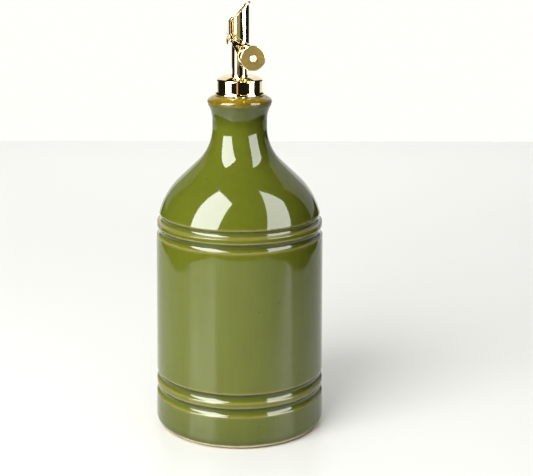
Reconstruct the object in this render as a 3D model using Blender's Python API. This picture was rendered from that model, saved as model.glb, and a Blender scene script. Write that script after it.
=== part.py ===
"""Glazed stoneware oil bottle with a metal pourer, whose weighted flap shuts the spout by itself.

Metres, +Z up. The origin is the centre of the foot's underside. +X is the side that the oil pours to,
apart from the small turn of the pourer in the neck. Sizes below are in millimetres.
"""

from math import cos, hypot, pi, radians, sin, tan

import bmesh
import bpy
from mathutils import Matrix, Vector

MM = 0.001

# The thrown body
BODY_SIDES = 56
FOOT_INNER_R = 33.0
FOOT_RECESS = 1.2
BASE_R = 41.4
BASE_ROUND = 4.5
BASE_TOP = (41.1, 16.6)
LOW_BEAD = ((41.0, 21.1), (41.0, 23.4))
BODY_LOW = (40.85, 28.0)
BODY_HIGH = (40.15, 95.9)
HIGH_BEAD = ((39.85, 100.35), (39.75, 102.75))
SHOULDER_EDGE = (38.65, 106.3)
GROOVES = (
    (BASE_TOP, LOW_BEAD[0]),
    (LOW_BEAD[1], BODY_LOW),
    (BODY_HIGH, HIGH_BEAD[0]),
    (HIGH_BEAD[1], SHOULDER_EDGE),
)
GROOVE_DEPTH = 1.4
GROOVE_STEPS = 4

# Shoulder, neck and lip
SHOULDER_ROUND = 34.9
SHOULDER_START = 14.7
SHOULDER_STEEP = 46.4
NECK_R = 13.0
NECK_ROUND = 22.8
NECK_TOP_Z = 151.2
FLARE_ROUND = 14.0
FLARE_ANGLE = 31.6
LIP_CENTRE = (13.7, 159.8)
LIP_ROUND = 1.6
LIP_SLOPE = (12.9, 162.25)
LIP_TOP = (11.6, 162.8)

# The hollow
WALL = 4.0
BORE_R = NECK_R - WALL
BORE_EASE = 0.9
BELLY_R = 35.2
BELLY_TOP_Z = 98.0
BELLY_CORNER = 6.0
FLOOR_Z = 5.4

# Play between pieces that touch
GAP = 0.3
SLEEVE_GAP = 0.25

# The pourer: plug, collar, spout
TURN_DEG = 9.0
SPOUT_SIDES = 28
SPOUT_R = 3.75
SPOUT_BORE_R = 3.15
SPOUT_FOOT_Z = 141.0
PLUG_TOP_R = BORE_R - GAP
PLUG_LOW_R = 8.2
COLLAR_SIDES = 40
COLLAR_Z = LIP_TOP[1] + GAP
FLANGE_R = 11.7
FLANGE_EDGE = 0.6
COLLAR_R = 10.95
COLLAR_WALL_TOP = 169.9
COLLAR_TOP_R = 7.6
COLLAR_TOP = 171.7

# The sleeve round the spout's end, cut aslant at both ends
SLEEVE_R = 4.4
SLEEVE_LOW_Z = 188.9
SLEEVE_LOW_SLOPE = tan(radians(-29.5))
MOUTH_DEG = 45.0
MOUTH_TURN_DEG = -27.0
MOUTH_Z = 200.0
MOUTH_SLOPE = tan(radians(MOUTH_DEG))

# The flap, bent from one strip of sheet
SHEET = 0.6
PIVOT_X = -4.6
PIVOT_Z = 188.6
PIN_R = 0.4
PIN_HOLE_R = 0.55
PIN_HEAD_R = 0.8
PIN_HEAD = 0.4
LUG_HALF_WIDTH = 1.2
LUG_R = 0.8
EYE_R = 0.95
LID_HALF_WIDTH = 4.7
LID_LOW_REACH = 6.8
LID_TIP_REACH = 7.8
LID_THICKNESS = 1.0
LID_STEPS = 28
STRAP_X = (-5.4, -4.8)
STRAP_HALF_WIDTH = 2.4
YOKE_Z = (189.75, 191.4)
CHEEK_IN = SLEEVE_R + 0.45
CHEEK_OUT = CHEEK_IN + SHEET
CUT_PAST = 1.0

# The cheeks' edges (x, z), from the back of the strap down and round to its front
TAIL = ((-5.5, 186.4), (-5.05, 185.7), (-4.6, 186.3), (-4.5, 187.5))
TAIL_RETURN = ((-3.65, 188.2), (-3.65, 189.1), (-4.4, 190.4))
ARM_BACK = ((-5.1, 187.8), (-4.3, 187.2), (-4.0, 186.1), (-3.2, 184.8), (-2.4, 182.9), (-1.2, 180.9))
ARM_FRONT = ((-0.7, 182.8), (-1.7, 184.4), (-2.4, 186.4))
SLEEVE_BAND_LOW = ((-0.5, 186.1), (2.3, 185.6))
SLEEVE_BAND_HIGH = ((2.5, 186.2), (-0.3, 187.1), (-2.0, 187.9), (-3.2, 188.9), (-4.4, 190.8))

# The weight and its rivet
WEIGHT_X = 4.2
WEIGHT_Z = 181.1
WEIGHT_R = 5.8
WEIGHT_LENGTH = 7.0
WEIGHT_EDGE = 0.35
WEIGHT_SIDES = 40
RIVET_R = 0.7
RIVET_HOLE_R = RIVET_R + GAP
RIVET_HEAD_R = 1.55
RIVET_HEAD = 0.6
HUB_R = 2.0


def material(name, colour, roughness, metallic):
    made = bpy.data.materials.new(name)
    made.use_nodes = True
    shader = made.node_tree.nodes["Principled BSDF"]
    shader.inputs["Base Color"].default_value = (*colour, 1.0)
    shader.inputs["Roughness"].default_value = roughness
    shader.inputs["Metallic"].default_value = metallic
    return made


def arc(centre, radius, start_deg, end_deg, steps):
    """Points (r, z) on a circle, both ends among them."""
    angles = [radians(start_deg + (end_deg - start_deg) * i / steps) for i in range(steps + 1)]
    return [(centre[0] + radius * cos(a), centre[1] + radius * sin(a)) for a in angles]


def groove(low, high):
    """The points between two ridges of a hollow round groove, GROOVE_DEPTH deep."""
    width = hypot(high[0] - low[0], high[1] - low[1])
    radius = (width**2 / 4 + GROOVE_DEPTH**2) / (2 * GROOVE_DEPTH)
    points = []
    for i in range(1, GROOVE_STEPS):
        along = i / GROOVE_STEPS
        across = (along - 0.5) * width
        depth = GROOVE_DEPTH - radius + (radius**2 - across**2) ** 0.5
        points.append((low[0] + (high[0] - low[0]) * along - depth, low[1] + (high[1] - low[1]) * along))
    return points


def add_object(name, bm, finish, parent=None):
    bmesh.ops.recalc_face_normals(bm, faces=bm.faces)
    mesh = bpy.data.meshes.new(name)
    bm.to_mesh(mesh)
    bm.free()
    mesh.shade_smooth()
    mesh.set_sharp_from_angle(angle=radians(35))
    mesh.materials.append(finish)
    made = bpy.data.objects.new(name, mesh)
    made.parent = parent
    bpy.context.scene.collection.objects.link(made)
    return made


def turned(outline, sides, closed):
    """Spins an outline (r, z) once round Z. A closed outline gives a ring, an open one ends on the axis."""
    bm = bmesh.new()
    verts = [bm.verts.new((r * MM, 0, z * MM)) for r, z in outline]
    pairs = list(zip(verts, verts[1:]))
    if closed:
        pairs.append((verts[-1], verts[0]))
    edges = [bm.edges.new(pair) for pair in pairs]
    bmesh.ops.spin(
        bm, geom=verts + edges, cent=(0, 0, 0), axis=(0, 0, 1), angle=2 * pi, steps=sides, use_merge=True
    )
    bmesh.ops.remove_doubles(bm, verts=bm.verts, dist=0.001 * MM)
    return bm


def plate(outline, y_low, y_high):
    """A flat plate with the outline (x, z), from y_low to y_high."""
    bm = bmesh.new()
    face = bm.faces.new([bm.verts.new((x * MM, y_low * MM, z * MM)) for x, z in outline])
    raised = bmesh.ops.extrude_face_region(bm, geom=[face])["geom"]
    moved = [item for item in raised if isinstance(item, bmesh.types.BMVert)]
    bmesh.ops.translate(bm, verts=moved, vec=(0, (y_high - y_low) * MM, 0))
    return bm


def rod(x, z, radius, y_low, y_high, sides=16):
    """A round rod along Y."""
    return plate(arc((x, z), radius, 0, 360 * (sides - 1) / sides, sides - 1), y_low, y_high)


def combine(target, bm, name, operation):
    """Joins a mesh to the target, or cuts it from the target, by a Boolean."""
    helper = add_object(name, bm, target.data.materials[0], target.parent)
    helper.location = target.location
    helper.hide_render = True
    helper.display_type = "WIRE"
    modifier = target.modifiers.new(name, "BOOLEAN")
    modifier.operation = operation
    modifier.object = helper
    modifier.solver = "EXACT"


# The bottle

def groove_stack():
    """The outer side from the foot's corner up to the shoulder's edge, with its four grooves."""
    points = arc((BASE_R - BASE_ROUND, BASE_ROUND), BASE_ROUND, -90, 0, 4)
    for low, high in GROOVES:
        points += [low, *groove(low, high), high]
    return points


def shoulder_centres():
    """Centres of the round shoulder and of the hollow below the neck, joined by one slanting line."""
    start, steep = radians(SHOULDER_START), radians(SHOULDER_STEEP)
    shoulder = (
        SHOULDER_EDGE[0] - SHOULDER_ROUND * cos(start),
        SHOULDER_EDGE[1] - SHOULDER_ROUND * sin(start),
    )
    line_low = (shoulder[0] + SHOULDER_ROUND * cos(steep), shoulder[1] + SHOULDER_ROUND * sin(steep))
    line_high_r = NECK_R + NECK_ROUND * (1 - cos(steep))
    line_high_z = line_low[1] + (line_low[0] - line_high_r) / tan(steep)
    return shoulder, (NECK_R + NECK_ROUND, line_high_z + NECK_ROUND * sin(steep))


def bottle_outline():
    shoulder, throat = shoulder_centres()
    steep_side = 180 + SHOULDER_STEEP
    outline = [(0, FOOT_RECESS), (FOOT_INNER_R - FOOT_RECESS, FOOT_RECESS), (FOOT_INNER_R, 0)]
    outline += groove_stack()
    outline += arc(shoulder, SHOULDER_ROUND, SHOULDER_START, SHOULDER_STEEP, 6)[1:]
    outline += arc(throat, NECK_ROUND, steep_side, 180, 6)
    outline += arc((NECK_R + FLARE_ROUND, NECK_TOP_Z), FLARE_ROUND, 180, 180 - FLARE_ANGLE, 3)
    outline += arc(LIP_CENTRE, LIP_ROUND, -FLARE_ANGLE, 60, 4)
    outline += [LIP_SLOPE, LIP_TOP, (BORE_R + BORE_EASE, LIP_TOP[1]), (BORE_R, LIP_TOP[1] - BORE_EASE)]
    outline += arc(throat, NECK_ROUND + WALL, 180, steep_side, 5)
    outline += arc(shoulder, SHOULDER_ROUND - WALL, SHOULDER_STEEP, SHOULDER_START, 5)
    outline.append((BELLY_R, BELLY_TOP_Z))
    outline += arc((BELLY_R - BELLY_CORNER, FLOOR_Z + BELLY_CORNER), BELLY_CORNER, 0, -90, 3)
    outline.append((0, FLOOR_Z))
    return outline


def build_bottle():
    glaze = material("olive_glaze", (0.17, 0.21, 0.03), 0.08, 0.0)
    add_object("bottle", turned(bottle_outline(), BODY_SIDES, closed=False), glaze)


# The fixed pieces of the pourer

def slant(bm, level, axis_z, slope, turn_deg=0.0):
    """Moves the points at one level of an upright piece onto a plane that climbs turn_deg from +X."""
    uphill = Vector((cos(radians(turn_deg)), sin(radians(turn_deg)), 0))
    for vert in bm.verts:
        if abs(vert.co.z - level * MM) < 0.01 * MM:
            vert.co.z = axis_z * MM + vert.co.dot(uphill) * slope


def build_plug(turn):
    rubber = material("plug_rubber", (0.05, 0.05, 0.05), 0.6, 0.0)
    bore = SPOUT_R + GAP
    top = COLLAR_Z - GAP
    outline = [(bore, SPOUT_FOOT_Z), (PLUG_LOW_R, SPOUT_FOOT_Z), (PLUG_TOP_R, top), (bore, top)]
    add_object("plug", turned(outline, COLLAR_SIDES, closed=True), rubber, turn)


def build_collar(turn, gold):
    bore = SPOUT_R + GAP
    edge_top = COLLAR_Z + FLANGE_EDGE
    outline = [
        (bore, COLLAR_Z),
        (FLANGE_R, COLLAR_Z),
        (FLANGE_R, edge_top),
        (COLLAR_R, edge_top + FLANGE_EDGE),
        (COLLAR_R, COLLAR_WALL_TOP),
        (COLLAR_R - FLANGE_EDGE, COLLAR_WALL_TOP + FLANGE_EDGE),
        (COLLAR_TOP_R, COLLAR_TOP),
        (bore, COLLAR_TOP),
    ]
    add_object("collar", turned(outline, COLLAR_SIDES, closed=True), gold, turn)


def build_spout(turn, gold):
    """The pouring tube and the sleeve on its upper end, both cut to the same slanting mouth."""
    top = MOUTH_Z
    inner, outer = SPOUT_BORE_R, SPOUT_R
    tube = turned([(inner, SPOUT_FOOT_Z), (outer, SPOUT_FOOT_Z), (outer, top), (inner, top)], SPOUT_SIDES, True)
    slant(tube, top, MOUTH_Z, MOUTH_SLOPE, MOUTH_TURN_DEG)
    add_object("spout_tube", tube, gold, turn)
    inner, outer = SPOUT_R + SLEEVE_GAP, SLEEVE_R
    low = SLEEVE_LOW_Z
    sleeve = turned([(inner, low), (outer, low), (outer, top), (inner, top)], SPOUT_SIDES, True)
    slant(sleeve, top, MOUTH_Z, MOUTH_SLOPE, MOUTH_TURN_DEG)
    slant(sleeve, low, SLEEVE_LOW_Z, SLEEVE_LOW_SLOPE)
    add_object("spout_sleeve", sleeve, gold, turn)


def build_hinge(turn, gold):
    """A lug on the back of the spout, and the pin that it holds for the flap."""
    tube_side = -(SPOUT_R + GAP)
    rounded = arc((PIVOT_X, PIVOT_Z), LUG_R, 90, 270, 8)
    outline = [*rounded, (tube_side, PIVOT_Z - LUG_R), (tube_side, PIVOT_Z + LUG_R - GAP)]
    lug = add_object("hinge_lug", plate(outline, -LUG_HALF_WIDTH, LUG_HALF_WIDTH), gold, turn)
    past = LUG_HALF_WIDTH + CUT_PAST
    combine(lug, rod(PIVOT_X, PIVOT_Z, PIN_HOLE_R, -past, past), "lug_hole", "DIFFERENCE")
    reach = CHEEK_OUT + GAP
    pin = add_object("hinge_pin", rod(PIVOT_X, PIVOT_Z, PIN_R, -reach, reach), gold, turn)
    for side, name in ((-1, "pin_head_front"), (1, "pin_head_back")):
        ends = sorted((side * (reach - GAP / 2), side * (reach + PIN_HEAD)))
        combine(pin, rod(PIVOT_X, PIVOT_Z, PIN_HEAD_R, *ends), name, "UNION")


# The moving flap

def lid_outline():
    """The lid's own plane: along the slope, then across. The tip end reaches further than the low end."""
    points = []
    for i in range(LID_STEPS):
        angle = 2 * pi * i / LID_STEPS
        reach = LID_TIP_REACH if cos(angle) > 0 else LID_LOW_REACH
        points.append((reach * cos(angle), LID_HALF_WIDTH * sin(angle)))
    return points


def lid_mesh():
    bm = bmesh.new()
    face = bm.faces.new([bm.verts.new((u * MM, v * MM, 0)) for u, v in lid_outline()])
    raised = bmesh.ops.extrude_face_region(bm, geom=[face])["geom"]
    moved = [item for item in raised if isinstance(item, bmesh.types.BMVert)]
    bmesh.ops.translate(bm, verts=moved, vec=(0, 0, LID_THICKNESS * MM))
    lift = Matrix.Translation((0, 0, MOUTH_Z * MM))
    turn = Matrix.Rotation(radians(MOUTH_TURN_DEG), 4, "Z")
    tilt = Matrix.Rotation(radians(-MOUTH_DEG), 4, "Y")
    clear = Matrix.Translation((0, 0, GAP * MM))
    bmesh.ops.transform(bm, matrix=lift @ turn @ tilt @ clear, verts=bm.verts)
    return bm


def strap_mesh():
    """The strap behind the sleeve. Its top follows the slope of the lid, half way through the lid."""
    left, right = STRAP_X
    low, high = YOKE_Z[0] + SHEET, MOUTH_Z
    half = STRAP_HALF_WIDTH
    bm = plate([(left, low), (right, low), (right, high), (left, high)], -half, half)
    lid_middle = (GAP + LID_THICKNESS / 2) / cos(radians(MOUTH_DEG))
    slant(bm, high, MOUTH_Z + lid_middle, MOUTH_SLOPE, MOUTH_TURN_DEG)
    return bm


def back_cheek_outline():
    """The back cheek (x, z): an eye round the pin, with a short tail below it."""
    left, right = STRAP_X
    return [(left, YOKE_Z[1]), (PIVOT_X - EYE_R, PIVOT_Z), *TAIL, *TAIL_RETURN, (right, YOKE_Z[1])]


def front_cheek_outline():
    """The front cheek (x, z): an eye, a band under the sleeve's slanting end, and the arm to the weight."""
    left, right = STRAP_X
    hub = arc((WEIGHT_X, WEIGHT_Z), HUB_R, -110, 110, 10)
    outline = [(left, YOKE_Z[1]), (PIVOT_X - EYE_R, PIVOT_Z), *ARM_BACK, *hub, *ARM_FRONT]
    return outline + [*SLEEVE_BAND_LOW, *SLEEVE_BAND_HIGH, (right, YOKE_Z[1])]


def build_flap(hinge, gold):
    """Lid, strap, yoke and two cheeks in one bent piece. The front cheek carries the arm to the weight."""
    flap = add_object("flap", lid_mesh(), gold, hinge)
    flap.location = -hinge.location
    combine(flap, strap_mesh(), "flap_strap", "UNION")
    left, right = STRAP_X
    yoke = [(left, YOKE_Z[0]), (right, YOKE_Z[0]), (right, YOKE_Z[1]), (left, YOKE_Z[1])]
    half = CHEEK_IN + SHEET / 2
    combine(flap, plate(yoke, -half, half), "flap_yoke", "UNION")
    combine(flap, plate(front_cheek_outline(), -CHEEK_OUT, -CHEEK_IN), "flap_cheek_front", "UNION")
    combine(flap, plate(back_cheek_outline(), CHEEK_IN, CHEEK_OUT), "flap_cheek_back", "UNION")
    past = CHEEK_OUT + CUT_PAST
    combine(flap, rod(PIVOT_X, PIVOT_Z, PIN_HOLE_R, -past, past), "flap_pin_hole", "DIFFERENCE")
    arm_cut = (-past, -CHEEK_IN + CUT_PAST)
    combine(flap, rod(WEIGHT_X, WEIGHT_Z, RIVET_HOLE_R, *arm_cut), "flap_rivet_hole", "DIFFERENCE")


def along_front(made):
    """Lays a piece turned round Z along -Y at the weight's centre, starting at the arm."""
    made.rotation_euler = (radians(90), 0, 0)
    made.location = Vector((WEIGHT_X - PIVOT_X, -CHEEK_OUT, WEIGHT_Z - PIVOT_Z)) * MM


def build_weight(hinge, gold):
    """A turned disc on the arm's front, and the rivet through both."""
    turned_gold = material("turned_gold", (0.62, 0.50, 0.25), 0.4, 1.0)
    near, far = GAP, GAP + WEIGHT_LENGTH
    outline = [
        (RIVET_HOLE_R, near),
        (WEIGHT_R - WEIGHT_EDGE, near),
        (WEIGHT_R, near + WEIGHT_EDGE),
        (WEIGHT_R, far - WEIGHT_EDGE),
        (WEIGHT_R - WEIGHT_EDGE, far),
        (RIVET_HOLE_R, far),
    ]
    along_front(add_object("weight", turned(outline, WEIGHT_SIDES, closed=True), turned_gold, hinge))
    back = -(SHEET + GAP)
    front = far + GAP
    outline = [
        (0, back - RIVET_HEAD / 2),
        (RIVET_HOLE_R + GAP, back - RIVET_HEAD / 2),
        (RIVET_HOLE_R + GAP, back),
        (RIVET_R, back),
        (RIVET_R, front),
        (RIVET_HEAD_R, front),
        (RIVET_HEAD_R - RIVET_HEAD / 2, front + RIVET_HEAD),
        (0, front + RIVET_HEAD),
    ]
    along_front(add_object("weight_rivet", turned(outline, 20, closed=False), gold, hinge))


def empty(name, location, parent=None):
    made = bpy.data.objects.new(name, None)
    made.location = location
    made.parent = parent
    bpy.context.scene.collection.objects.link(made)
    return made


def main():
    for old in list(bpy.data.objects):
        bpy.data.objects.remove(old)
    gold = material("polished_gold", (0.80, 0.62, 0.26), 0.15, 1.0)
    build_bottle()
    turn = empty("pourer", (0, 0, 0))
    turn.rotation_euler.z = radians(TURN_DEG)
    build_plug(turn)
    build_collar(turn, gold)
    build_spout(turn, gold)
    build_hinge(turn, gold)
    hinge = empty("flap_hinge", (PIVOT_X * MM, 0, PIVOT_Z * MM), turn)
    build_flap(hinge, gold)
    build_weight(hinge, gold)


main()
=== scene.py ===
"""A glazed stoneware oil bottle and its gold-coloured pourer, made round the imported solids."""

from math import asin, cos, degrees, hypot, pi, radians, sin, tan

import bmesh
import bpy
from mathutils import Matrix, Vector


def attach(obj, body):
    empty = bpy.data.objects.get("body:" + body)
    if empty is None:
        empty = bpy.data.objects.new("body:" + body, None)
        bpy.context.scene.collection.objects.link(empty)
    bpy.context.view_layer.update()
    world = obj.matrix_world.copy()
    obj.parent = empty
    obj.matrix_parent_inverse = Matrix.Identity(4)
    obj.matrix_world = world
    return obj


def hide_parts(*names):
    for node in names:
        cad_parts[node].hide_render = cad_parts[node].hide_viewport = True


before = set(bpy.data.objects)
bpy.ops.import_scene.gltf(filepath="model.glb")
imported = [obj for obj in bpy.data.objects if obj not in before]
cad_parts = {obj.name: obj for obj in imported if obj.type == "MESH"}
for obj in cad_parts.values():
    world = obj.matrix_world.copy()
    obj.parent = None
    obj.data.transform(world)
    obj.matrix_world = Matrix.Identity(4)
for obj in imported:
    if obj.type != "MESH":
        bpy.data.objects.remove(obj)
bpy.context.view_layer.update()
MM = 0.001


# The bottle. One piece of stoneware, thrown and then turned: a foot, a straight wall between two pairs of
# cut grooves, a round shoulder, a narrow neck and a rolled lip. Its inside is left as the thrower leaves it.

BOTTLE_TURNS = 160
CORNER_NEAR, DOUBLES_NEAR = 0.02, 0.002
FOOT_IN_R, FOOT_RISE = 33.0, 1.2
BASE_R, BASE_ROUND, BASE_MIDDLE = 41.4, 4.5, (41.3, 10.6)
GROOVE_PAIRS = (
    ((41.1, 16.6), (41.0, 21.1)),
    ((41.0, 23.4), (40.85, 28.0)),
    ((39.98, 95.9), (39.85, 100.35)),
    ((39.75, 102.75), (38.65, 106.3)),
)
GROOVE_DEPTH = 1.4
RIDGE_ROUND = 0.5
WALL_TOP, WALL_EASE = (40.2, 89.8), 3.9
SHOULDER_R, SHOULDER_FROM, SHOULDER_TO = 34.9, 14.7, 46.4
NECK_R, NECK_ROUND, NECK_TOP = 13.0, 22.8, 151.2
FLARE_ROUND, FLARE_TURN = 14.0, 31.6
LIP_R, LIP_Z, LIP_ROUND, LIP_TURN = 13.7, 159.8, 1.6, 60
LIP_SLOPE, LIP_TOP = (12.9, 162.25), (11.6, 162.8)
WALL, BORE_R, BORE_EASE = 4.0, 9.0, 0.9
BELLY_R, BELLY_TOP, BELLY_ROUND, FLOOR_Z = 35.2, 98.0, 6.0, 5.4


def draw_to(bm, last, point, parts=1):
    """Draws a straight stretch of a profile (r, z) from its last vertex, and returns the new last one."""
    start = last.co.copy()
    end = Vector((point[0] * MM, 0, point[1] * MM))
    for step in range(1, parts + 1):
        new = bm.verts.new(start.lerp(end, step / parts))
        bm.edges.new((last, new))
        last = new
    return last


def draw_round(bm, last, centre, turn, steps):
    """Swings a profile's last vertex round a centre (r, z), counter-clockwise as seen from -Y."""
    middle = (centre[0] * MM, 0, centre[1] * MM)
    swung = bmesh.ops.spin(
        bm, geom=[last], cent=middle, axis=(0, -1, 0), angle=radians(turn), steps=steps
    )
    return swung["geom_last"][0]


def draw_groove(bm, last, low, high):
    """Cuts one hollow round groove from its lower ridge to its upper one."""
    last = draw_to(bm, last, low)
    chord = Vector((high[0] - low[0], high[1] - low[1]))
    half = chord.length / 2
    radius = (half**2 + GROOVE_DEPTH**2) / (2 * GROOVE_DEPTH)
    outward = Vector((chord.y, -chord.x)).normalized()
    middle = Vector((low[0] + high[0], low[1] + high[1])) / 2 + outward * (radius - GROOVE_DEPTH)
    return draw_round(bm, last, middle, -2 * degrees(asin(half / radius)), steps=12)


def spin_up(bm, turns):
    """Turns a profile once round Z into a shell with its faces outwards."""
    bmesh.ops.spin(
        bm,
        geom=bm.verts[:] + bm.edges[:],
        cent=(0, 0, 0),
        axis=(0, 0, 1),
        angle=2 * pi,
        steps=turns,
        use_merge=True,
    )
    bmesh.ops.remove_doubles(bm, verts=bm.verts, dist=DOUBLES_NEAR * MM)
    bmesh.ops.recalc_face_normals(bm, faces=bm.faces)


def ring_edges(bm, r, z):
    """The ring of edges at one corner (r, z) of a turned piece."""
    def on_corner(vert):
        return hypot(hypot(vert.co.x, vert.co.y) - r * MM, vert.co.z - z * MM) < CORNER_NEAR * MM

    return [edge for edge in bm.edges if on_corner(edge.verts[0]) and on_corner(edge.verts[1])]


def round_edges(bm, edges, width, segments=3):
    """Rounds sharp edges by a width in millimetres."""
    bmesh.ops.bevel(
        bm,
        geom=edges,
        offset=width * MM,
        offset_type="OFFSET",
        segments=segments,
        profile=0.5,
        affect="EDGES",
        clamp_overlap=True,
        material=-1,
    )


def finish_piece(name, bm, finish, body, node, sharp):
    """Makes the piece's object, and gives it its finish and its place in the frame."""
    mesh = bpy.data.meshes.new(name)
    bm.to_mesh(mesh)
    bm.free()
    mesh.shade_smooth()
    mesh.set_sharp_from_angle(angle=radians(sharp))
    mesh.materials.append(finish)
    piece = bpy.data.objects.new(name, mesh)
    bpy.context.scene.collection.objects.link(piece)
    weighted = piece.modifiers.new("flat_faces_stay_flat", "WEIGHTED_NORMAL")
    weighted.keep_sharp = True
    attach(piece, body)
    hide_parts(node)
    return piece


def shoulder_middles():
    """Centres of the shoulder's round and of the neck's round, and the end of the line that joins them."""
    start, steep = radians(SHOULDER_FROM), radians(SHOULDER_TO)
    edge = GROOVE_PAIRS[-1][1]
    shoulder = (edge[0] - SHOULDER_R * cos(start), edge[1] - SHOULDER_R * sin(start))
    slant = (shoulder[0] + SHOULDER_R * cos(steep), shoulder[1] + SHOULDER_R * sin(steep))
    neck_r = NECK_R + NECK_ROUND * (1 - cos(steep))
    neck_z = slant[1] + (slant[0] - neck_r) / tan(steep)
    return shoulder, (NECK_R + NECK_ROUND, neck_z + NECK_ROUND * sin(steep)), (neck_r, neck_z)


def throw_wall(bm, last):
    """The outer side from the foot's round up to the shoulder's edge. The wall eases inwards at its top."""
    low_groove, second_groove, third_groove, top_groove = GROOVE_PAIRS
    last = draw_to(bm, last, BASE_MIDDLE, parts=2)
    last = draw_groove(bm, last, *low_groove)
    last = draw_groove(bm, last, *second_groove)
    last = draw_to(bm, last, WALL_TOP, parts=24)
    ease_r = (third_groove[0][1] - WALL_TOP[1]) / sin(radians(WALL_EASE))
    last = draw_round(bm, last, (WALL_TOP[0] - ease_r, WALL_TOP[1]), WALL_EASE, steps=8)
    last = draw_groove(bm, last, *third_groove)
    return draw_groove(bm, last, *top_groove)


def throw_bottle():
    """One profile, from under the foot up to the lip and down the inside to the floor, turned once round."""
    shoulder, throat, neck_foot = shoulder_middles()
    inner_steep = radians(SHOULDER_TO)
    inner_r = SHOULDER_R - WALL
    bm = bmesh.new()
    last = bm.verts.new((0, 0, FOOT_RISE * MM))
    last = draw_to(bm, last, (FOOT_IN_R - FOOT_RISE, FOOT_RISE), parts=6)
    last = draw_to(bm, last, (FOOT_IN_R, 0))
    last = draw_to(bm, last, (BASE_R - BASE_ROUND, 0))
    last = draw_round(bm, last, (BASE_R - BASE_ROUND, BASE_ROUND), 90, steps=12)
    last = throw_wall(bm, last)
    last = draw_round(bm, last, shoulder, SHOULDER_TO - SHOULDER_FROM, steps=24)
    last = draw_to(bm, last, neck_foot, parts=6)
    last = draw_round(bm, last, throat, -SHOULDER_TO, steps=28)
    last = draw_to(bm, last, (NECK_R, NECK_TOP), parts=3)
    last = draw_round(bm, last, (NECK_R + FLARE_ROUND, NECK_TOP), -FLARE_TURN, steps=10)
    flare_end = radians(FLARE_TURN)
    last = draw_to(bm, last, (LIP_R + LIP_ROUND * cos(flare_end), LIP_Z - LIP_ROUND * sin(flare_end)), parts=2)
    last = draw_round(bm, last, (LIP_R, LIP_Z), FLARE_TURN + LIP_TURN, steps=14)
    for corner in (LIP_SLOPE, LIP_TOP, (BORE_R + BORE_EASE, LIP_TOP[1]), (BORE_R, LIP_TOP[1] - BORE_EASE)):
        last = draw_to(bm, last, corner)
    last = draw_to(bm, last, (BORE_R, throat[1]), parts=3)
    last = draw_round(bm, last, throat, SHOULDER_TO, steps=10)
    inner_shoulder = (shoulder[0] + inner_r * cos(inner_steep), shoulder[1] + inner_r * sin(inner_steep))
    last = draw_to(bm, last, inner_shoulder)
    last = draw_round(bm, last, shoulder, SHOULDER_FROM - SHOULDER_TO, steps=10)
    last = draw_to(bm, last, (BELLY_R, BELLY_TOP))
    last = draw_to(bm, last, (BELLY_R, FLOOR_Z + BELLY_ROUND), parts=6)
    last = draw_round(bm, last, (BELLY_R - BELLY_ROUND, FLOOR_Z + BELLY_ROUND), -90, steps=8)
    draw_to(bm, last, (0, FLOOR_Z), parts=6)
    spin_up(bm, BOTTLE_TURNS)
    for ridges in GROOVE_PAIRS:
        for ridge in ridges:
            round_edges(bm, ring_edges(bm, *ridge), RIDGE_ROUND, segments=4)
    bmesh.ops.recalc_face_normals(bm, faces=bm.faces)
    return bm


def add_node(tree, kind, sockets=None, **settings):
    """Adds a shader node. sockets gives each input a value, or the output that feeds it."""
    made = tree.nodes.new(kind)
    for name, value in settings.items():
        setattr(made, name, value)
    for name, value in (sockets or {}).items():
        if isinstance(value, bpy.types.NodeSocket):
            tree.links.new(value, made.inputs[name])
        else:
            made.inputs[name].default_value = value
    return made


def tint(tree, share, under, over):
    """Colour that goes from under to over by share. Each is a colour or an output."""
    made = add_node(tree, "ShaderNodeMix", data_type="RGBA")
    for socket, value in ((made.inputs[0], share), (made.inputs[6], under), (made.inputs[7], over)):
        if isinstance(value, bpy.types.NodeSocket):
            tree.links.new(value, socket)
        else:
            socket.default_value = (*value, 1.0) if isinstance(value, tuple) else value
    return made.outputs[2]


def reckon(tree, operation, first, second=0.0, third=0.0, clamp=False):
    values = {0: first, 1: second, 2: third}
    return add_node(tree, "ShaderNodeMath", values, operation=operation, use_clamp=clamp).outputs[0]


def noise(tree, place, scale, detail=3.0, roughness=0.5):
    sockets = {"Vector": place, "Scale": scale, "Detail": detail, "Roughness": roughness}
    return add_node(tree, "ShaderNodeTexNoise", sockets).outputs[0]


def height_bands(tree, height, bands):
    """A mask along the bottle's height: bands is (z, level) pairs in millimetres, lowest first."""
    top = LIP_TOP[1]
    ramp = add_node(tree, "ShaderNodeValToRGB", {0: reckon(tree, "DIVIDE", height, top * MM)})
    stops = ramp.color_ramp.elements
    for stop, level in zip(stops, (bands[0][1], bands[-1][1])):
        stop.color = (level,) * 3 + (1.0,)
    for z, level in bands:
        stops.new(z / top).color = (level,) * 3 + (1.0,)
    ramp.color_ramp.interpolation = "EASE"
    return ramp.outputs[0]


# Levels of the glaze's bands, against millimetres above a ridge or above the table.
THIN_ON_LOW = ((-0.9, 0.0), (0.1, 1.0), (0.8, 0.0))
THIN_ON_HIGH = ((-0.8, 0.0), (0.0, 1.0), (0.9, 0.0))
# The upper half of each groove faces downwards and is darkened by pooled glaze and by painted shade.
POOL_AND_SHADE_FROM_LOW = ((1.5, 0.0), (2.5, 0.9))
POOL_AND_SHADE_TO_HIGH = ((-0.8, 1.0), (-0.2, 0.0))
BARE_FOOT = ((2.0, 1.0), (2.5, 0.0))
# Painted shade: the glaze is darker towards the foot, where the bottle stands on the table.
FOOT_SHADE = ((2.2, 1.0), (6.5, 0.4), (15.5, 0.2), (17.5, 0.0))
PALE_FLARE = ((147, 0.0), (153, 0.8))
AMBER_LIP = ((158.5, 0.0), (159.4, 1.0))
BAND_WAVE = 0.8


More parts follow.
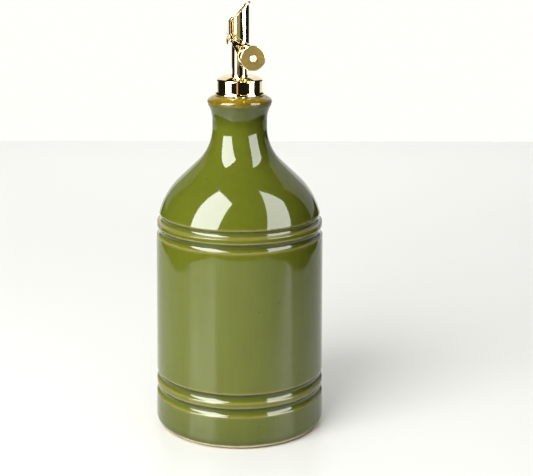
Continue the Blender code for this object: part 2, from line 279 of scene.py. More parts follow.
def glaze_depth_and_groove_shade(tree, height, waved):
    """Where the glaze is thin, on the ridges, and where pooled glaze and painted shade darken it, in the upper
    half of each groove.
    """
    ridges, pool_and_shade_bands = [], []
    for low, high in GROOVE_PAIRS:
        ridges += [(low[1] + above, level) for above, level in THIN_ON_LOW]
        ridges += [(high[1] + above, level) for above, level in THIN_ON_HIGH]
        pool_and_shade_bands += [(low[1] + above, level) for above, level in POOL_AND_SHADE_FROM_LOW]
        pool_and_shade_bands += [(high[1] + above, level) for above, level in POOL_AND_SHADE_TO_HIGH]
    return height_bands(tree, waved, ridges), height_bands(tree, height, pool_and_shade_bands)


def glaze_finish():
    """Olive glaze over buff clay: thin and tan on ridges, deep in the grooves' upper halves from pooled glaze
    and painted shade, darker towards the foot from painted shade, amber where it runs off the lip.
    """
    green, deep, thin = (0.142, 0.174, 0.015), (0.036, 0.046, 0.001), (0.36, 0.31, 0.10)
    fresh, brown = (0.170, 0.192, 0.019), (0.090, 0.092, 0.005)
    amber, dark_amber, clay = (0.35, 0.255, 0.016), (0.17, 0.118, 0.005), (0.62, 0.53, 0.31)
    grey_green, iron = (0.076, 0.089, 0.009), (0.035, 0.032, 0.006)
    finish = bpy.data.materials.new("olive_glaze")
    finish.use_nodes = True
    tree = finish.node_tree
    shader = tree.nodes["Principled BSDF"]
    place = add_node(tree, "ShaderNodeTexCoord").outputs["Object"]
    height = add_node(tree, "ShaderNodeSeparateXYZ", {0: place}).outputs[2]
    wander = noise(tree, place, 170.0, 4.0, 0.6)
    waved = reckon(tree, "MULTIPLY_ADD", wander, BAND_WAVE * MM, height)
    waved = reckon(tree, "SUBTRACT", waved, BAND_WAVE / 2 * MM)
    thinning, pooling_and_shade = glaze_depth_and_groove_shade(tree, height, waved)
    mottle = noise(tree, place, 75.0, 6.0, 0.62)
    drawn_down = add_node(tree, "ShaderNodeMapping", {"Vector": place, "Scale": (420.0, 420.0, 18.0)})
    streaks = noise(tree, drawn_down.outputs[0], 1.0)
    grain = noise(tree, place, 1500.0, 2.0)
    colour = tint(tree, reckon(tree, "MULTIPLY_ADD", mottle, 1.1, -0.30, clamp=True), brown, green)
    colour = tint(tree, 0.40, green, colour)
    colour = tint(tree, reckon(tree, "MULTIPLY_ADD", streaks, 0.6, -0.24, clamp=True), colour, fresh)
    colour = tint(tree, reckon(tree, "MULTIPLY_ADD", grain, 0.7, -0.40, clamp=True), colour, brown)
    colour = tint(tree, height_bands(tree, waved, PALE_FLARE), colour, grey_green)
    # Painted shade, together with pooled glaze, darkens the upper half of each groove.
    colour = tint(tree, reckon(tree, "MULTIPLY", pooling_and_shade, 0.9), colour, deep)
    # Painted shade, strongest at the foot and fading out below the low grooves.
    foot_shade = height_bands(tree, waved, FOOT_SHADE)
    colour = tint(tree, reckon(tree, "MULTIPLY", foot_shade, 0.6), colour, deep)
    colour = tint(tree, reckon(tree, "MULTIPLY", thinning, 0.7), colour, thin)
    cells = add_node(tree, "ShaderNodeTexVoronoi", {"Vector": place, "Scale": 210.0, "Randomness": 1.0})
    chance = add_node(tree, "ShaderNodeSeparateColor", {0: cells.outputs["Color"]}).outputs[0]
    speck = reckon(tree, "LESS_THAN", cells.outputs["Distance"], 0.075)
    speck = reckon(tree, "MULTIPLY", speck, reckon(tree, "GREATER_THAN", chance, 0.80))
    colour = tint(tree, reckon(tree, "MULTIPLY", speck, 0.6), colour, iron)
    lip = height_bands(tree, waved, AMBER_LIP)
    lip_colour = tint(tree, reckon(tree, "MULTIPLY_ADD", wander, 2.2, -0.75, clamp=True), dark_amber, amber)
    colour = tint(tree, lip, colour, lip_colour)
    bare = height_bands(tree, waved, BARE_FOOT)
    tree.links.new(tint(tree, bare, colour, clay), shader.inputs["Base Color"])
    smooth = reckon(tree, "MULTIPLY_ADD", grain, 0.05, 0.03)
    tree.links.new(reckon(tree, "MULTIPLY_ADD", bare, 0.55, smooth), shader.inputs["Roughness"])
    shader.inputs["IOR"].default_value = 1.50
    swell = noise(tree, place, 38.0, 1.5)
    ripple = add_node(tree, "ShaderNodeBump", {"Height": swell, "Strength": 0.18, "Distance": 0.4 * MM})
    pits = {"Height": grain, "Strength": 0.06, "Distance": 0.03 * MM, "Normal": ripple.outputs[0]}
    tree.links.new(add_node(tree, "ShaderNodeBump", pits).outputs[0], shader.inputs["Normal"])
    return finish


bottle = finish_piece("glazed_bottle", throw_bottle(), glaze_finish(), "vessel", "bottle", 50)


# The plug. A tapered rubber stopper pressed into the neck, which holds the pourer and seals it.
# It is out of sight below the collar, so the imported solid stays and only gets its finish.

def plug_finish():
    finish = bpy.data.materials.new("black_rubber")
    finish.use_nodes = True
    tree = finish.node_tree
    shader = tree.nodes["Principled BSDF"]
    bloom = noise(tree, add_node(tree, "ShaderNodeTexCoord").outputs["Object"], 600.0, 4.0)
    colour = tint(tree, bloom, (0.018, 0.018, 0.018), (0.05, 0.05, 0.048))
    tree.links.new(colour, shader.inputs["Base Color"])
    tree.links.new(reckon(tree, "MULTIPLY_ADD", bloom, 0.25, 0.5), shader.inputs["Roughness"])
    grip = add_node(tree, "ShaderNodeBump", {"Height": bloom, "Strength": 0.2, "Distance": 0.1 * MM})
    tree.links.new(grip.outputs[0], shader.inputs["Normal"])
    return finish


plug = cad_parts["plug"]
plug.data.materials.clear()
plug.data.materials.append(plug_finish())


# The collar. A pressed cap of gold-coloured metal with a flange that sits on the lip, a straight wall and
# a shallow cone up to the tube. The metal is polished all over and then plated.

POURER_TURN = 9.0
COLLAR_Z, FLANGE_R, FLANGE_EDGE = 163.1, 11.7, 0.6
COLLAR_R, COLLAR_WALL_TOP, COLLAR_TOP_R, COLLAR_TOP = 10.95, 169.9, 7.6, 171.7
TUBE_R, TUBE_BORE_R, TUBE_FOOT = 3.75, 3.15, 141.0
SOLDERED = 0.02


def polish_group():
    """Fine marks that polishing leaves: a roughness that wanders a little, and a faintly uneven surface."""
    group = bpy.data.node_groups.new("polishing_marks", "ShaderNodeTree")
    for name, value in (("Scale", 320.0), ("Smoothness", 0.03), ("Wander", 0.05), ("Unevenness", 0.05)):
        socket = group.interface.new_socket(name, in_out="INPUT", socket_type="NodeSocketFloat")
        socket.default_value = value
    group.interface.new_socket("Roughness", in_out="OUTPUT", socket_type="NodeSocketFloat")
    group.interface.new_socket("Normal", in_out="OUTPUT", socket_type="NodeSocketVector")
    given = group.nodes.new("NodeGroupInput")
    out = group.nodes.new("NodeGroupOutput")
    place = add_node(group, "ShaderNodeTexCoord").outputs["Object"]
    marks = noise(group, place, given.outputs["Scale"])
    rough = reckon(group, "MULTIPLY_ADD", marks, given.outputs["Wander"], given.outputs["Smoothness"])
    group.links.new(rough, out.inputs["Roughness"])
    sockets = {"Height": marks, "Strength": given.outputs["Unevenness"], "Distance": 0.05 * MM}
    group.links.new(add_node(group, "ShaderNodeBump", sockets).outputs[0], out.inputs["Normal"])
    return group


def gold_finish(name, polishing, pale, deep, wander, smoothness=0.03):
    """Polished gold-coloured metal, with a warmth and a polish that wander over it."""
    finish = bpy.data.materials.new(name)
    finish.use_nodes = True
    tree = finish.node_tree
    shader = tree.nodes["Principled BSDF"]
    place = add_node(tree, "ShaderNodeTexCoord").outputs["Object"]
    marks = add_node(tree, "ShaderNodeGroup", node_tree=polishing)
    marks.inputs["Wander"].default_value = wander
    marks.inputs["Smoothness"].default_value = smoothness
    tree.links.new(marks.outputs["Roughness"], shader.inputs["Roughness"])
    tree.links.new(marks.outputs["Normal"], shader.inputs["Normal"])
    tree.links.new(tint(tree, noise(tree, place, 90.0, 2.0), deep, pale), shader.inputs["Base Color"])
    shader.inputs["Metallic"].default_value = 1.0
    return finish


def turn_pourer(bm):
    """Sets a pourer piece at the small turn it has in the neck."""
    bmesh.ops.rotate(
        bm, cent=(0, 0, 0), matrix=Matrix.Rotation(radians(POURER_TURN), 3, "Z"), verts=bm.verts
    )


def turn_profile(corners, turns, closed=True):
    """A profile (r, z) turned once round Z: into a ring if it is closed, or a solid if it ends on Z."""
    bm = bmesh.new()
    first = last = bm.verts.new((corners[0][0] * MM, 0, corners[0][1] * MM))
    for corner in corners[1:]:
        last = draw_to(bm, last, corner)
    if closed:
        bm.edges.new((last, first))
    spin_up(bm, turns)
    return bm


def press_collar():
    """Flange, wall and cone, with the small rounds that the press leaves."""
    inner = TUBE_R + SOLDERED
    flange_top = COLLAR_Z + FLANGE_EDGE
    wall_foot = (COLLAR_R, flange_top + FLANGE_EDGE)
    bm = turn_profile(
        [
            (inner, COLLAR_Z),
            (FLANGE_R, COLLAR_Z),
            (FLANGE_R, flange_top),
            wall_foot,
            (COLLAR_R, COLLAR_WALL_TOP),
            (COLLAR_R - FLANGE_EDGE, COLLAR_WALL_TOP + FLANGE_EDGE),
            (COLLAR_TOP_R, COLLAR_TOP),
            (inner, COLLAR_TOP),
        ],
        120,
    )
    round_edges(bm, ring_edges(bm, FLANGE_R, COLLAR_Z) + ring_edges(bm, FLANGE_R, flange_top), 0.18)
    round_edges(bm, ring_edges(bm, *wall_foot), 0.2)
    round_edges(bm, ring_edges(bm, COLLAR_R, COLLAR_WALL_TOP), 0.25)
    round_edges(bm, ring_edges(bm, COLLAR_TOP_R, COLLAR_TOP), 0.3)
    turn_pourer(bm)
    return bm


polishing = polish_group()
plating = gold_finish("gold_plating", polishing, (0.93, 0.80, 0.50), (0.86, 0.70, 0.37), 0.05)
collar = finish_piece("pressed_collar", press_collar(), plating, "vessel", "collar", 55)


# The tube. A drawn tube that the oil runs through, soldered into the collar and cut aslant at its mouth.

MOUTH_Z, MOUTH_TILT, MOUTH_TURN = 200.0, 45.0, -27.0


def slope_ring(bm, z, tilt, turn=0.0):
    """Cuts a tube's end aslant: its ring at height z goes onto a plane that climbs turn degrees from +X."""
    uphill = Vector((cos(radians(turn)), sin(radians(turn)), 0))
    for vert in bm.verts:
        if abs(vert.co.z - z * MM) < CORNER_NEAR * MM:
            vert.co.z = z * MM + vert.co.dot(uphill) * tan(radians(tilt))


def draw_tube():
    ends = [(TUBE_BORE_R, TUBE_FOOT), (TUBE_R, TUBE_FOOT), (TUBE_R, MOUTH_Z), (TUBE_BORE_R, MOUTH_Z)]
    bm = turn_profile(ends, 72)
    slope_ring(bm, MOUTH_Z, MOUTH_TILT, MOUTH_TURN)
    turn_pourer(bm)
    return bm


tube = finish_piece("drawn_tube", draw_tube(), plating, "vessel", "spout_tube", 40)


# The sleeve. A short wider tube over the spout's end, cut aslant below and above, which the lid closes on.

SLEEVE_R, SLEEVE_LOW, SLEEVE_TILT = 4.4, 188.9, -29.5


def cut_sleeve():
    inner = TUBE_R + SOLDERED
    ends = [(inner, SLEEVE_LOW), (SLEEVE_R, SLEEVE_LOW), (SLEEVE_R, MOUTH_Z), (inner, MOUTH_Z)]
    bm = turn_profile(ends, 72)
    slope_ring(bm, MOUTH_Z, MOUTH_TILT, MOUTH_TURN)
    slope_ring(bm, SLEEVE_LOW, SLEEVE_TILT)
    outside = [edge for edge in bm.edges if min(v.co.xy.length for v in edge.verts) > (SLEEVE_R - 0.1) * MM]
    round_edges(bm, [edge for edge in outside if edge.calc_face_angle(0) > radians(40)], 0.14, 2)
    turn_pourer(bm)
    return bm


sleeve = finish_piece("slanting_sleeve", cut_sleeve(), plating, "vessel", "spout_sleeve", 50)


# The hinge. A small lug is soldered to the back of the tube, and the flap swings on a headed pin through it.

PIVOT_X, PIVOT_Z = -4.6, 188.6
LUG_HALF, LUG_R, PIN_R, PIN_HOLE_R = 1.2, 0.8, 0.4, 0.55
PIN_HEAD_R, PIN_HEAD = 0.8, 0.4
CHEEK_IN, CHEEK_OUT = 4.85, 5.45
GAP, FILED = 0.3, 0.12


def cut_plate(corners, holes, y_low, y_high, corner_round):
    """A flat plate cut from sheet: corners (x, z), their round, and holes ((x, z), radius)."""
    bm = bmesh.new()
    face = bm.faces.new([bm.verts.new((x * MM, y_low * MM, z * MM)) for x, z in corners])
    bmesh.ops.bevel(
        bm,
        geom=face.verts[:],
        offset=corner_round * MM,
        offset_type="OFFSET",
        segments=4,
        profile=0.5,
        affect="VERTICES",
        clamp_overlap=True,
        material=-1,
    )
    bmesh.ops.delete(bm, geom=bm.faces[:], context="FACES_ONLY")
    for (x, z), radius in holes:
        stand = Matrix.Translation((x * MM, y_low * MM, z * MM)) @ Matrix.Rotation(radians(90), 4, "X")
        bmesh.ops.create_circle(bm, cap_ends=False, segments=24, radius=radius * MM, matrix=stand)
    bmesh.ops.triangle_fill(bm, use_beauty=True, use_dissolve=False, edges=bm.edges[:])
    raised = bmesh.ops.extrude_face_region(bm, geom=bm.faces[:])["geom"]
    moved = [item for item in raised if isinstance(item, bmesh.types.BMVert)]
    bmesh.ops.translate(bm, verts=moved, vec=(0, (y_high - y_low) * MM, 0))
    bmesh.ops.recalc_face_normals(bm, faces=bm.faces)
    return bm


def solder_lug():
    """A small plate on the back of the tube, with a hole that the pin sits tight in."""
    tail = -TUBE_R - SOLDERED
    corners = [
        (tail, PIVOT_Z - LUG_R),
        (tail, PIVOT_Z + LUG_R - GAP),
        (PIVOT_X, PIVOT_Z + LUG_R),
        (PIVOT_X - LUG_R, PIVOT_Z + LUG_R / 2),
        (PIVOT_X - LUG_R, PIVOT_Z - LUG_R / 2),
        (PIVOT_X, PIVOT_Z - LUG_R),
    ]
    bm = cut_plate(corners, [((PIVOT_X, PIVOT_Z), PIN_R + SOLDERED)], -LUG_HALF, LUG_HALF, 0.15)
    turn_pourer(bm)
    return bm


def head_pin():
    """A shank through both cheeks with a flat round head on each end, laid along Y at the pivot."""
    shank, end = CHEEK_OUT + GAP, CHEEK_OUT + GAP + PIN_HEAD
    lower = [(0, -end), (PIN_HEAD_R, -end), (PIN_HEAD_R, -shank), (PIN_R, -shank)]
    bm = turn_profile(lower + [(r, -z) for r, z in reversed(lower)], 24, closed=False)
    rims = [edge for z in (-end, -shank, shank, end) for edge in ring_edges(bm, PIN_HEAD_R, z)]
    round_edges(bm, rims, FILED)
    stand = Matrix.Translation((PIVOT_X * MM, 0, PIVOT_Z * MM)) @ Matrix.Rotation(radians(90), 4, "X")
    bmesh.ops.transform(bm, matrix=stand, verts=bm.verts)
    turn_pourer(bm)
    return bm


lug = finish_piece("soldered_lug", solder_lug(), plating, "vessel", "hinge_lug", 35)
pin = finish_piece("headed_pin", head_pin(), plating, "vessel", "hinge_pin", 35)


# The flap. One strip of sheet metal bent into a strap down the back of the sleeve, a yoke and two cheeks,
# with a thicker lid on its end. The front cheek's arm carries the weight. Its cut edges are filed round.

LID_HALF, LID_LOW, LID_TIP, LID_THICK = 4.7, 6.8, 7.8, 1.0
STRAP_X, STRAP_HALF, SHEET = (-5.4, -4.8), 2.4, 0.6
YOKE_Z, EYE_R = (189.75, 191.4), 0.95
WEIGHT_X, WEIGHT_Z, HUB_R = 4.2, 181.1, 2.0
RIVET_R, CHEEK_ROUND = 0.7, 0.25
TAIL = ((-5.5, 186.4), (-5.05, 185.7), (-4.6, 186.3), (-4.5, 187.5))
TAIL_RETURN = ((-3.65, 188.2), (-3.65, 189.1), (-4.4, 190.4))
ARM_BACK = ((-5.1, 187.8), (-4.3, 187.2), (-4.0, 186.1), (-3.2, 184.8), (-2.4, 182.9), (-1.2, 180.9))
ARM_FRONT = ((-0.7, 182.8), (-1.7, 184.4), (-2.4, 186.4))
SLEEVE_BAND = ((-0.5, 186.1), (2.3, 185.6), (2.5, 186.2), (-0.3, 187.1), (-2.0, 187.9), (-3.2, 188.9))
BAND_END = (-4.4, 190.8)


def file_edges(bm, width, segments=3):
    """Files the sharp edges of a plate round."""
    sharp = [edge for edge in bm.edges if edge.calc_face_angle(0) > radians(60)]
    round_edges(bm, sharp, width, segments)


def stamp_lid():
    """An egg-shaped plate, longer towards its tip, laid a gap above the slanting mouth."""
    bm = bmesh.new()
    bmesh.ops.create_circle(bm, cap_ends=True, segments=72, radius=1.0)
    for vert in bm.verts:
        reach = LID_TIP if vert.co.x > 0 else LID_LOW
        vert.co = Vector((vert.co.x * reach, vert.co.y * LID_HALF, 0)) * MM
    raised = bmesh.ops.extrude_face_region(bm, geom=bm.faces[:])["geom"]
    moved = [item for item in raised if isinstance(item, bmesh.types.BMVert)]
    bmesh.ops.translate(bm, verts=moved, vec=(0, 0, LID_THICK * MM))
    bmesh.ops.recalc_face_normals(bm, faces=bm.faces)
    file_edges(bm, 0.3, segments=4)
    shut = (
        Matrix.Translation((0, 0, MOUTH_Z * MM))
        @ Matrix.Rotation(radians(MOUTH_TURN), 4, "Z")
        @ Matrix.Rotation(radians(-MOUTH_TILT), 4, "Y")
        @ Matrix.Translation((0, 0, GAP * MM))
    )
    bmesh.ops.transform(bm, matrix=shut, verts=bm.verts)
    return bm


def bend_strap():
    """The upright strip behind the sleeve. Its top follows the slope of the lid, and ends inside the lid."""
    left, right = STRAP_X
    low, high = YOKE_Z[0] + SHEET, MOUTH_Z
    corners = [(left, low), (right, low), (right, high), (left, high)]
    bm = cut_plate(corners, [], -STRAP_HALF, STRAP_HALF, FILED)
    under_lid = MOUTH_Z + (GAP + LID_THICK / 2) / cos(radians(MOUTH_TILT))
    for vert in bm.verts:
        if vert.co.z > (high - 2 * FILED) * MM:
            uphill = vert.co.x * cos(radians(MOUTH_TURN)) + vert.co.y * sin(radians(MOUTH_TURN))
            vert.co.z = under_lid * MM + uphill * tan(radians(MOUTH_TILT))
    return bm


def bend_flap():
    """Lid, strap, yoke and cheeks, each with its edges filed, in one mesh."""
    left, right = STRAP_X
    half = CHEEK_IN + SHEET / 2
    eye = ((PIVOT_X, PIVOT_Z), PIN_HOLE_R)
    bm = stamp_lid()
    yoke = [(left, YOKE_Z[0]), (right, YOKE_Z[0]), (right, YOKE_Z[1]), (left, YOKE_Z[1])]
    hub_angles = [radians(angle) for angle in range(-110, 111, 22)]
    hub = [(WEIGHT_X + HUB_R * cos(angle), WEIGHT_Z + HUB_R * sin(angle)) for angle in hub_angles]
    behind_eye = [(left, YOKE_Z[1]), (PIVOT_X - EYE_R, PIVOT_Z)]
    front = [*behind_eye, *ARM_BACK, *hub, *ARM_FRONT, *SLEEVE_BAND, BAND_END, (right, YOKE_Z[1])]
    back = [*behind_eye, *TAIL, *TAIL_RETURN, (right, YOKE_Z[1])]
    rivet_hole = ((WEIGHT_X, WEIGHT_Z), RIVET_R + GAP)
    plates = (
        bend_strap(),
        cut_plate(yoke, [], -half, half, FILED),
        cut_plate(front, [eye, rivet_hole], -CHEEK_OUT, -CHEEK_IN, CHEEK_ROUND),
        cut_plate(back, [eye], CHEEK_IN, CHEEK_OUT, CHEEK_ROUND),
    )
    for plate in plates:
        bmesh.ops.dissolve_limit(plate, angle_limit=radians(1), verts=plate.verts[:], edges=plate.edges[:])
        file_edges(plate, FILED)
        joined = bpy.data.meshes.new("cut_plate")
        plate.to_mesh(joined)
        plate.free()
        bm.from_mesh(joined)
        bpy.data.meshes.remove(joined)
    turn_pourer(bm)
    return bm


sheet_gold = gold_finish("gold_sheet", polishing, (0.90, 0.77, 0.46), (0.80, 0.64, 0.32), 0.08)
flap = finish_piece("bent_flap", bend_flap(), sheet_gold, "flap", "flap", 40)


# The weight. A disc turned from bar, with a fine-turned face and a polished rim, which pulls the lid shut.

WEIGHT_R, WEIGHT_LENGTH, WEIGHT_EDGE = 5.8, 7.0, 0.35
LATHE_STEP = 0.28


def turned_finish():
    """The lathe's rings and a dull speckled gold on the disc's two faces. Its rim is polished."""
    polished, dull_dark, dull_pale = (0.90, 0.77, 0.46), (0.24, 0.170, 0.048), (0.335, 0.250, 0.082)
    finish = bpy.data.materials.new("turned_gold")
    finish.use_nodes = True
    tree = finish.node_tree
    shader = tree.nodes["Principled BSDF"]
    place = add_node(tree, "ShaderNodeTexCoord").outputs["Object"]
    unturned = {"Vector": place, "Rotation": (0, 0, radians(-POURER_TURN))}
    squared = add_node(tree, "ShaderNodeMapping", unturned).outputs[0]
    apart = add_node(tree, "ShaderNodeSeparateXYZ", {0: squared})
    across = reckon(tree, "SUBTRACT", apart.outputs[0], WEIGHT_X * MM)
    upward = reckon(tree, "SUBTRACT", apart.outputs[2], WEIGHT_Z * MM)
    across_squared = reckon(tree, "MULTIPLY", across, across)
    out = reckon(tree, "SQRT", reckon(tree, "MULTIPLY_ADD", upward, upward, across_squared))
    rings = reckon(tree, "SINE", reckon(tree, "MULTIPLY", out, 2 * pi / (LATHE_STEP * MM)))
    face = reckon(tree, "LESS_THAN", out, (WEIGHT_R - WEIGHT_EDGE) * MM)
    speckle = noise(tree, place, 1800.0, 2.0)
    dull = tint(tree, speckle, dull_dark, dull_pale)
    tree.links.new(tint(tree, face, polished, dull), shader.inputs["Base Color"])
    tree.links.new(reckon(tree, "MULTIPLY_ADD", face, 0.36, 0.06), shader.inputs["Roughness"])
    cut = reckon(tree, "MULTIPLY", rings, face)
    lathe = add_node(tree, "ShaderNodeBump", {"Height": cut, "Strength": 0.25, "Distance": 0.02 * MM})
    tree.links.new(lathe.outputs[0], shader.inputs["Normal"])
    shader.inputs["Metallic"].default_value = 1.0
    return finish


def lay_along_front(bm):
    """Lays a piece turned round Z along -Y at the weight's centre, starting at the arm."""
    there = Matrix.Translation((WEIGHT_X * MM, -CHEEK_OUT * MM, WEIGHT_Z * MM))
    bmesh.ops.transform(bm, matrix=there @ Matrix.Rotation(radians(90), 4, "X"), verts=bm.verts)


def turn_weight():
    """A thick disc with a hole for the rivet, and its two outer edges broken."""
    near, far = GAP, GAP + WEIGHT_LENGTH
    hole = RIVET_R + GAP
    bm = turn_profile([(hole, near), (WEIGHT_R, near), (WEIGHT_R, far), (hole, far)], 96)
    round_edges(bm, ring_edges(bm, WEIGHT_R, near) + ring_edges(bm, WEIGHT_R, far), WEIGHT_EDGE, 4)
    lay_along_front(bm)
    turn_pourer(bm)
    return bm


weight = finish_piece("turned_weight", turn_weight(), turned_finish(), "flap", "weight", 50)


# The rivet. It holds the disc on the flap's arm and shows as a bright domed boss in the middle of its face.

RIVET_HEAD_R, RIVET_HEAD, BOSS_R, DOME = 1.55, 0.6, 1.1, 0.2
BOSS_RING_OUT, BOSS_RING_IN, BOSS_RING_DEEP = 0.15, 0.1, 0.12


def close_rivet():
    """A shank with a closed end behind the arm, and a head in front whose domed boss has a ring cut round it."""
    back, front = -(SHEET + GAP), GAP + WEIGHT_LENGTH
    closed_r, closed_end = RIVET_R + 2 * GAP, back - RIVET_HEAD / 2
    rim, top = front + RIVET_HEAD - DOME, front + RIVET_HEAD
    bm = turn_profile(
        [
            (0, closed_end),
            (closed_r, closed_end),
            (closed_r, back),
            (RIVET_R, back),
            (RIVET_R, front + SOLDERED),
            (RIVET_HEAD_R, front + SOLDERED),
            (RIVET_HEAD_R, rim),
            (BOSS_R + BOSS_RING_OUT, rim),
            (BOSS_R, rim - BOSS_RING_DEEP),
            (BOSS_R - BOSS_RING_IN, rim),
            (BOSS_R / 2, top - DOME / 4),
            (0, top),
        ],
        64,
        closed=False,
    )
    round_edges(bm, ring_edges(bm, RIVET_HEAD_R, rim), 0.25, segments=4)
    lay_along_front(bm)
    turn_pourer(bm)
    return bm


bright_gold = gold_finish("bright_rivet", polishing, (0.86, 0.80, 0.58), (0.78, 0.70, 0.45), 0.2, 0.36)
rivet = finish_piece("closed_rivet", close_rivet(), bright_gold, "flap", "weight_rivet", 60)


# The table. A glossy white top, narrow in front and broad behind the bottle, in front of a white backdrop.

TABLE_SIDE, TABLE_FRONT, TABLE_STEP = 0.33, 0.46, 0.30
BROAD_SIDE, TABLE_BACK = 0.9, 0.75


def table_finish():
    finish = bpy.data.materials.new("white_top")
    finish.use_nodes = True
    shader = finish.node_tree.nodes["Principled BSDF"]
    shader.inputs["Base Color"].default_value = (0.72, 0.72, 0.69, 1.0)
    shader.inputs["Roughness"].default_value = 0.28
    shader.inputs["Specular IOR Level"].default_value = 0.2
    return finish


def lay_table():
    """The two parts of the top meet edge to edge."""
    bm = bmesh.new()
    for side, front, back in ((TABLE_SIDE, -TABLE_FRONT, TABLE_STEP), (BROAD_SIDE, TABLE_STEP, TABLE_BACK)):
        part = bmesh.ops.create_grid(bm, x_segments=1, y_segments=1, size=0.5)["verts"]
        bmesh.ops.scale(bm, vec=(2 * side, back - front, 1), verts=part)
        bmesh.ops.translate(bm, vec=(0, (front + back) / 2, 0), verts=part)
    mesh = bpy.data.meshes.new("table")
    bm.to_mesh(mesh)
    bm.free()
    mesh.materials.append(table_finish())
    table = bpy.data.objects.new("table", mesh)
    bpy.context.scene.collection.objects.link(table)
    return table


table = lay_table()


# The light. Two tall softboxes in front, left and right, which only gloss shows, a key lamp and a ceiling
# which light only the shapes, and a white backdrop behind, in a room that is dark otherwise. Small lamps and
# cards help single pieces, each kept to its own piece by light linking.

MID_HEIGHT = 0.125


def hang_lamp(name, bearing, lift, distance, size, power, shows, turn=0.0, nod=0.0, roll=0.0):
    """Hangs a flat lamp that shows either gloss or shapes, at a bearing from -Y and a lift, in degrees.
    turn, nod and roll swing its face from where it would look at the bottle."""
    light = bpy.data.lights.new(name, "AREA")
    light.shape = "RECTANGLE"
    light.size, light.size_y = size
    light.energy = power
    lamp = bpy.data.objects.new(name, light)
    lamp.visible_camera = False
    lamp.visible_glossy = shows == "gloss"
    lamp.visible_diffuse = shows == "shapes"

    def towards(sideways, upwards):
        a, b = radians(sideways), radians(upwards)
        return Vector((sin(a) * cos(b), -cos(a) * cos(b), sin(b)))

    lamp.location = Vector((0, 0, MID_HEIGHT)) + towards(bearing, lift) * distance
    faces = towards(bearing + turn, lift + nod).to_track_quat("Z", "Y").to_matrix()
    lamp.rotation_euler = (faces @ Matrix.Rotation(radians(roll), 3, "Z")).to_euler()
    bpy.context.scene.collection.objects.link(lamp)
    return lamp


def light_only(lamps, name, pieces):
    """Keeps lamps to a few pieces."""
    lit = bpy.data.collections.new(name)
    for piece in pieces:
        lit.objects.link(piece)
    for lamp in lamps:
        lamp.light_linking.receiver_collection = lit


left_face = {"turn": -24.3, "nod": -17.2, "roll": 1.8}
right_face = {"turn": -63.4, "nod": -17.0, "roll": -8.0}
hang_lamp("softbox_left", -45.3, 38.2, 0.75, (0.53, 0.92), 25.0, "gloss", **left_face)
hang_lamp("softbox_right", 72.0, 32.8, 0.75, (0.62, 0.87), 16.2, "gloss", **right_face)
hang_lamp("key", -38, 36, 0.80, (0.6, 0.6), 9.3, "shapes")
hang_lamp("ceiling", 0, 89, 1.2, (1.8, 1.8), 2.2, "shapes")

# Two lamps light only the table, which the photograph shows almost without a shadow.
table_lamps = [
    hang_lamp("table_ceiling", 0, 74, 1.15, (2.4, 2.4), 16.4, "shapes"),
    hang_lamp("far_table", 180, 30.5, 0.835, (1.6, 0.3), 3.9, "shapes", nod=59.5),
]
light_only(table_lamps, "table_top", [table])

# The backdrop's two sides, which show as pale rims on the glaze only.
rim_lamps = [
    hang_lamp("rim_left", -143, 22, 0.80, (0.32, 0.65), 0.22, "gloss"),
    hang_lamp("rim_right", 137, 22, 0.80, (0.53, 0.65), 0.66, "gloss"),
]
light_only(rim_lamps, "glazed", [bottle])

# The cards round the pourer light only its metal.
cards = [
    hang_lamp("card_left", -57, 19, 0.25, (0.145, 0.17), 0.27, "gloss"),
    hang_lamp("card_right", 61, 19, 0.25, (0.115, 0.17), 0.20, "gloss"),
]
card_dim = hang_lamp("card_dim", -19, 9.2, 0.25, (0.20, 0.04), 0.0088, "gloss")
card_dim.data.color = (1.0, 0.92, 0.66)
card_copper = hang_lamp("card_copper", -12, 1, 0.25, (0.026, 0.028), 0.0022, "gloss")
card_copper.data.color = (1.0, 0.52, 0.30)
cards += [
    card_dim,
    card_copper,
    hang_lamp("card_back_left", -151, -0.8, 0.25, (0.17, 0.043), 0.0207, "gloss"),
    hang_lamp("card_back_right", 141, -0.8, 0.25, (0.22, 0.043), 0.0268, "gloss"),
]
light_only(cards, "pourer", [collar, tube, sleeve, lug, pin, flap, weight, rivet])


# The backdrop and the room. The backdrop is white as far as 25 degrees to each side of straight behind, and
# up to a lift of 44 degrees, by the cosine and the sine below. Shapes get a faint even light from the room.

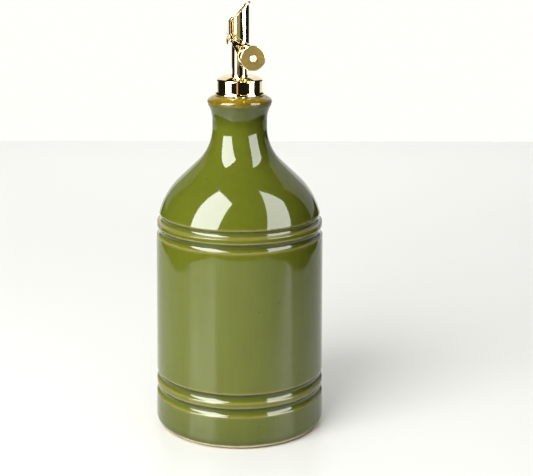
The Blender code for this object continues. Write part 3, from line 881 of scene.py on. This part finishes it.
BACKDROP_SIDE, BACKDROP_TOP = 0.906, 0.7
BACKDROP_WHITE, ROOM_DARK, ROOM_FILL = (1.0, 1.0, 0.96), (0.012, 0.012, 0.010), (0.05, 0.05, 0.048)


def light_room():
    """The world's light: what gloss sees, what shapes get, and the plain white that the camera sees."""
    world = bpy.data.worlds.new("studio")
    bpy.context.scene.world = world
    world.use_nodes = True
    tree = world.node_tree
    ways = add_node(tree, "ShaderNodeLightPath")
    place = add_node(tree, "ShaderNodeTexCoord").outputs["Generated"]
    direction = add_node(tree, "ShaderNodeSeparateXYZ", {0: place})
    upward = direction.outputs[2]
    downward = reckon(tree, "MULTIPLY", upward, -1.0)
    level = reckon(tree, "SQRT", reckon(tree, "MULTIPLY_ADD", downward, upward, 1.0))
    side = reckon(tree, "MULTIPLY", level, BACKDROP_SIDE)
    between = reckon(tree, "GREATER_THAN", direction.outputs[1], side)
    behind = reckon(tree, "MULTIPLY", between, reckon(tree, "LESS_THAN", upward, BACKDROP_TOP))
    seen = tint(tree, behind, ROOM_DARK, BACKDROP_WHITE)
    seen = tint(tree, ways.outputs["Is Diffuse Ray"], seen, ROOM_FILL)
    seen = tint(tree, ways.outputs["Is Camera Ray"], seen, BACKDROP_WHITE)
    tree.links.new(seen, tree.nodes["Background"].inputs[0])


light_room()
bpy.context.scene.view_settings.view_transform = "Standard"


# The camera. A short telephoto on a stand, looking down on the bottle by 15 degrees.

LENS, FILM_WIDTH = 85.0, 36.0
STAND = (0, -0.5892, 0.25089)
LOOK_DOWN, LOOK_RIGHT, CANT = 15.0, 1.263, 0.33

camera_data = bpy.data.cameras.new("camera")
camera_data.lens = LENS
camera_data.sensor_width = FILM_WIDTH
camera = bpy.data.objects.new("camera", camera_data)
camera.location = STAND
camera.rotation_euler = (
    Matrix.Rotation(radians(-LOOK_RIGHT), 3, "Z")
    @ Matrix.Rotation(radians(90 - LOOK_DOWN), 3, "X")
    @ Matrix.Rotation(radians(CANT), 3, "Z")
).to_euler()
bpy.context.scene.collection.objects.link(camera)
bpy.context.scene.camera = camera
